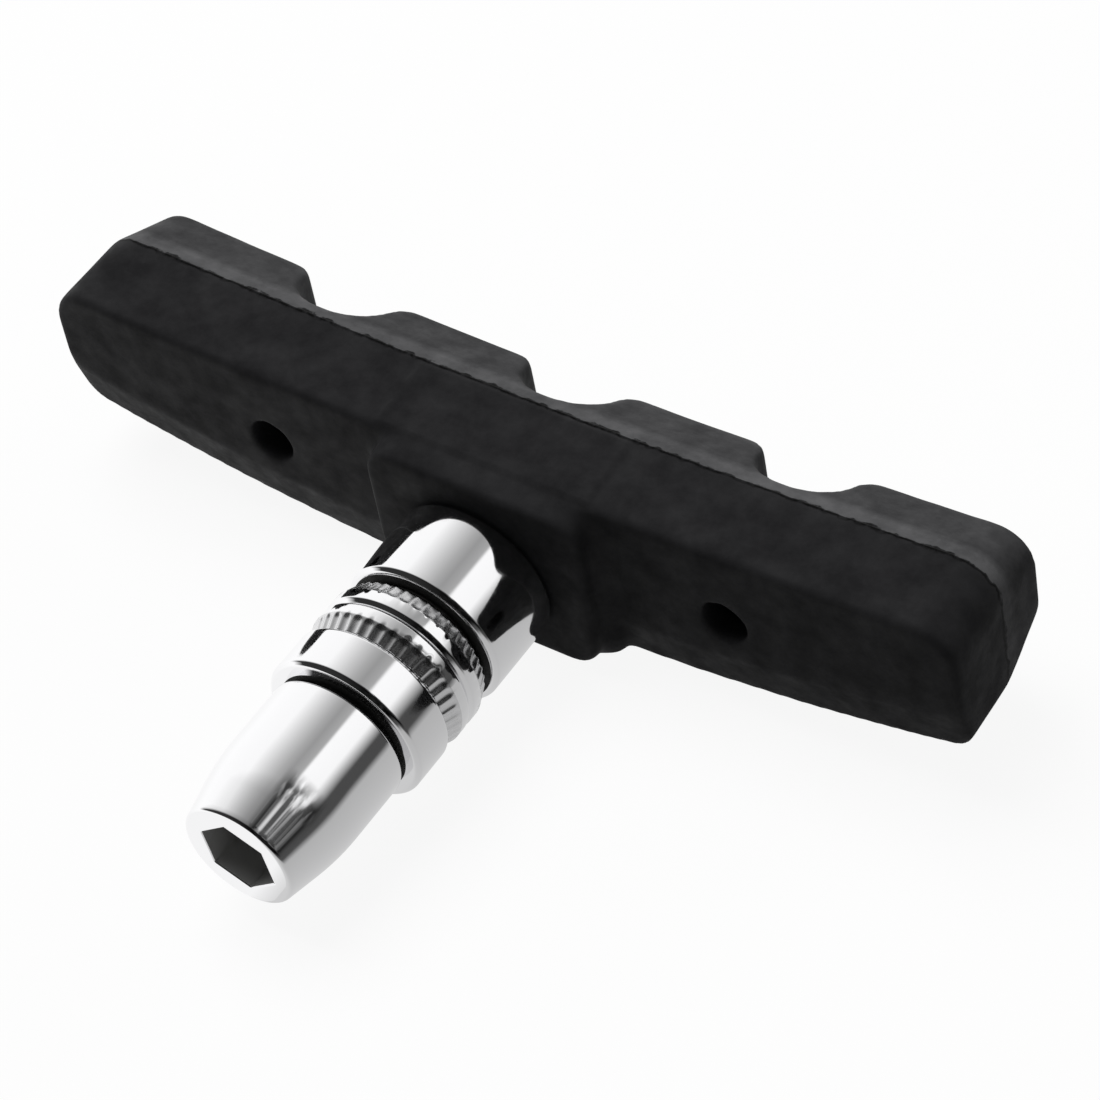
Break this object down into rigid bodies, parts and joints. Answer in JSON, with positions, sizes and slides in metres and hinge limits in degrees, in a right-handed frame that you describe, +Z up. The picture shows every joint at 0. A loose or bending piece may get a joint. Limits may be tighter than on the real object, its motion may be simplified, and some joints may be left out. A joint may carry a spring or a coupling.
{
  "type": "bicycle rim brake pad",
  "caption": "Curved rubber rim brake pad with round grooves across its friction face, on a threaded stud with cup and dome washers and a socket nut that clamp it to a brake arm.",
  "frame": {"origin": "on the stud's axis, at the flat face of the inner dome washer, where the brake arm is clamped", "axes": "+Y along the stud towards the friction face, +X along the pad's length, +Z up"},
  "size_m": [0.0728, 0.0413, 0.016],
  "materials": {
    "rubber": "moulded matt rubber",
    "plate_steel": "plain pressed steel inside the rubber",
    "stud_steel": "zinc-plated steel thread",
    "chrome": "polished chrome plate"
  },
  "bodies": {
    "pad": {"rubber_pad": "rubber", "backing_plate": "plate_steel", "threaded_stud": "stud_steel", "inner_cup_washer": "chrome", "inner_dome_washer": "chrome"},
    "clamp": {"outer_dome_washer": "chrome", "outer_cup_washer": "chrome"},
    "nut": {"socket_nut": "chrome"}
  },
  "joints": [
    {"name": "clamp_slide", "type": "slide", "parent": "pad", "child": "clamp", "axis": [0, -1, 0], "range_m": [0, 0.006]},
    {"name": "nut_turn", "type": "hinge", "parent": "clamp", "child": "nut", "pos_m": [0, -0.0061, 0], "axis": [0, -1, 0], "range_deg": [0, 2160]}
  ],
  "couplings": [
    {"joint": "nut_turn", "follows": "clamp_slide", "rad_per_m": 6283.2}
  ]
}
